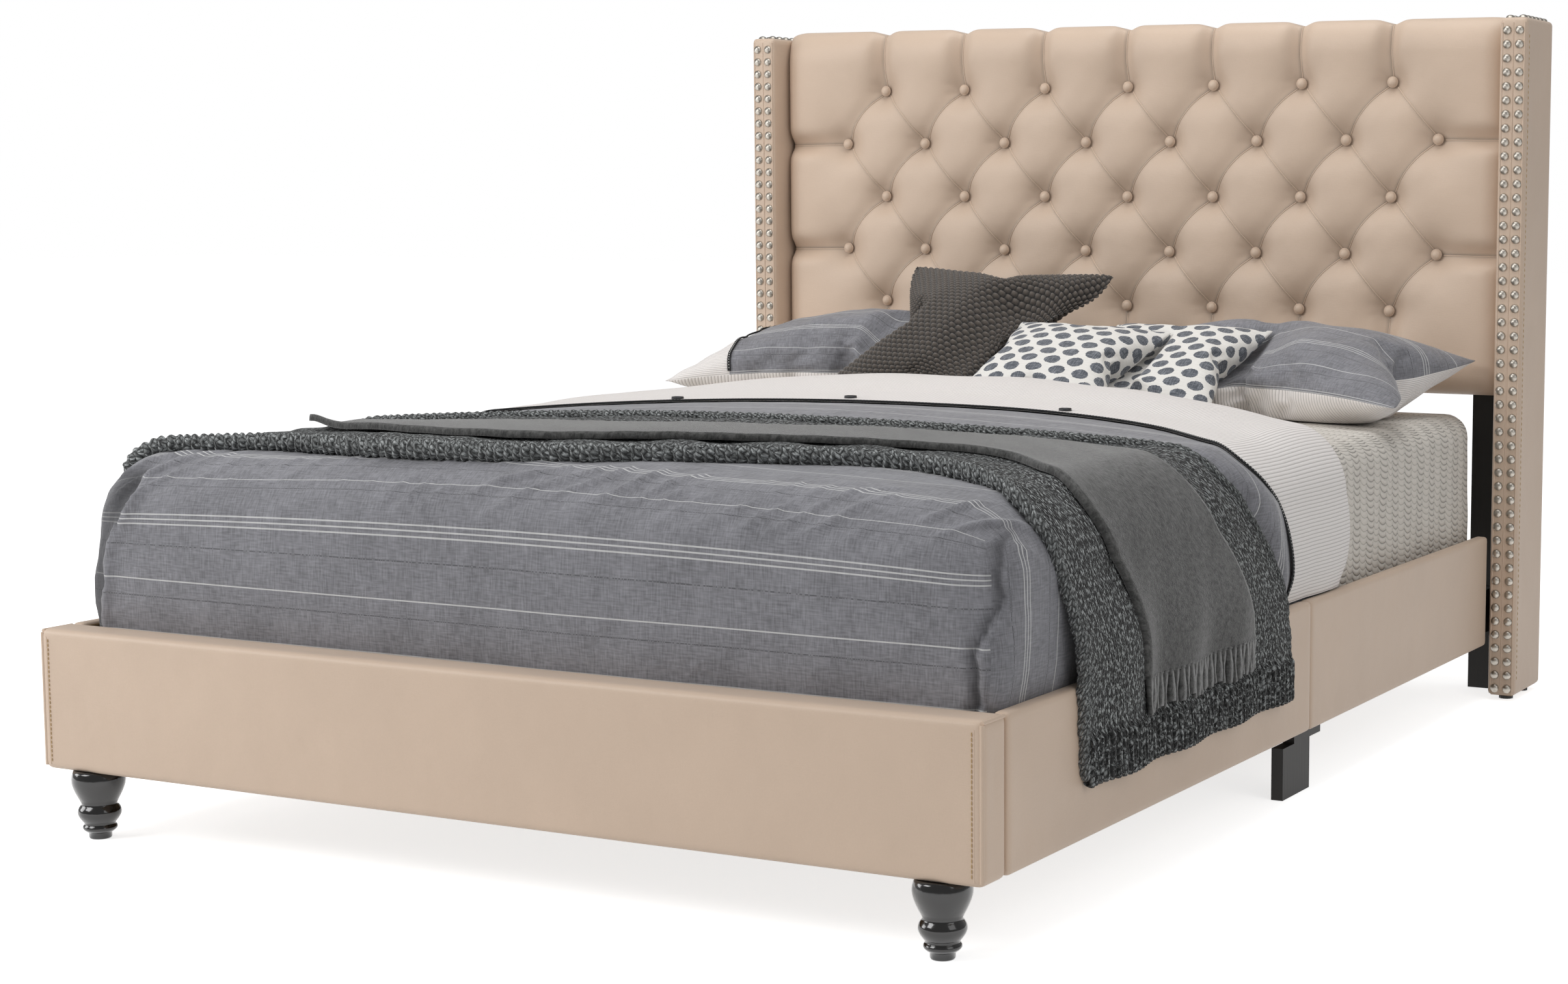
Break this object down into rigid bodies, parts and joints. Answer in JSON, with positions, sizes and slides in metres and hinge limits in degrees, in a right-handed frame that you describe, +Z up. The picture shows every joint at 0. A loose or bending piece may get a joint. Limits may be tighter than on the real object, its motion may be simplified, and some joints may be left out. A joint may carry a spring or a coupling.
{
  "type": "wingback bed",
  "caption": "Upholstered bed with a deep-buttoned wingback headboard, nailhead trim, low padded footboard, split side rails and a made-up mattress.",
  "frame": {"origin": "on the floor, under the centre of the bed's footprint", "axes": "+Y runs from the footboard to the headboard, +Z is up, +X is to the right seen from the foot"},
  "size_m": [1.722, 2.2557, 1.3179],
  "materials": {
    "leatherette": "warm beige leatherette with a fine linen grain",
    "nailhead_metal": "antique pewter domed nails",
    "timber": "bare softwood and plywood",
    "slat_wood": "bare poplar slats",
    "black_wood": "black satin lacquer",
    "dust_cloth": "black non-woven cloth on hardboard",
    "glide_plastic": "black moulded nylon",
    "bolt_steel": "zinc-plated steel",
    "black_steel": "black powder coat",
    "mattress_ticking": "woven cotton ticking",
    "coverlet_cotton": "pale warm grey quilted cotton",
    "duvet_chambray": "grey blue chambray with pale pinstripes",
    "band_cotton": "cream cotton with fine stripes",
    "knit_wool": "salt and pepper chunky knit",
    "felt_wool": "dark grey felted wool",
    "pillow_chambray": "grey chambray with cream underside",
    "dotted_cotton": "white cotton with grey dots",
    "charcoal_knit": "charcoal brown bobble knit"
  },
  "bodies": {
    "frame": {"beam_hangers": "black_steel", "beam_splice": "black_steel", "centre_legs": "timber", "cross_beam": "black_wood", "fitting_bolts": "bolt_steel", "foot_bolts": "bolt_steel", "foot_brackets": "black_steel", "footboard_core": "timber", "footboard_cover": "leatherette", "front_centre_beam": "timber", "head_brackets": "black_steel", "headboard_back_panel": "dust_cloth", "headboard_bottom_rail": "timber", "headboard_centre_stile": "timber", "headboard_lower_rail": "timber", "headboard_top_rail": "timber", "left_cleats": "timber", "left_foot": "black_wood", "left_front_rail_core": "timber", "left_front_rail_cover": "leatherette", "left_post": "black_wood", "left_rear_rail_core": "timber", "left_rear_rail_cover": "leatherette", "left_side_leg": "black_wood", "left_wing_core": "timber", "left_wing_cover": "leatherette", "leg_glides": "glide_plastic", "nailheads": "nailhead_metal", "panel_board": "timber", "panel_buttons": "leatherette", "rear_centre_beam": "timber", "right_cleats": "timber", "right_foot": "black_wood", "right_front_rail_core": "timber", "right_front_rail_cover": "leatherette", "right_post": "black_wood", "right_rear_rail_core": "timber", "right_rear_rail_cover": "leatherette", "right_side_leg": "black_wood", "right_wing_core": "timber", "right_wing_cover": "leatherette", "side_leg_bolts": "bolt_steel", "slats": "slat_wood", "splice_plates": "black_steel", "tufted_pad": "leatherette", "wing_bolts": "bolt_steel", "wing_glides": "glide_plastic"},
    "bedding": {"mattress": "mattress_ticking", "coverlet": "coverlet_cotton", "duvet": "duvet_chambray", "duvet_band": "band_cotton", "knit_throw": "knit_wool", "felt_throw": "felt_wool", "right_bed_pillow": "pillow_chambray", "left_bed_pillow": "pillow_chambray", "front_dotted_cushion": "dotted_cotton", "rear_dotted_cushion": "dotted_cotton", "charcoal_cushion": "charcoal_knit"}
  },
  "joints": [
    {"name": "mattress_lift", "type": "slide", "parent": "frame", "child": "bedding", "axis": [0, 0, 1], "range_m": [0, 0.4]}
  ]
}
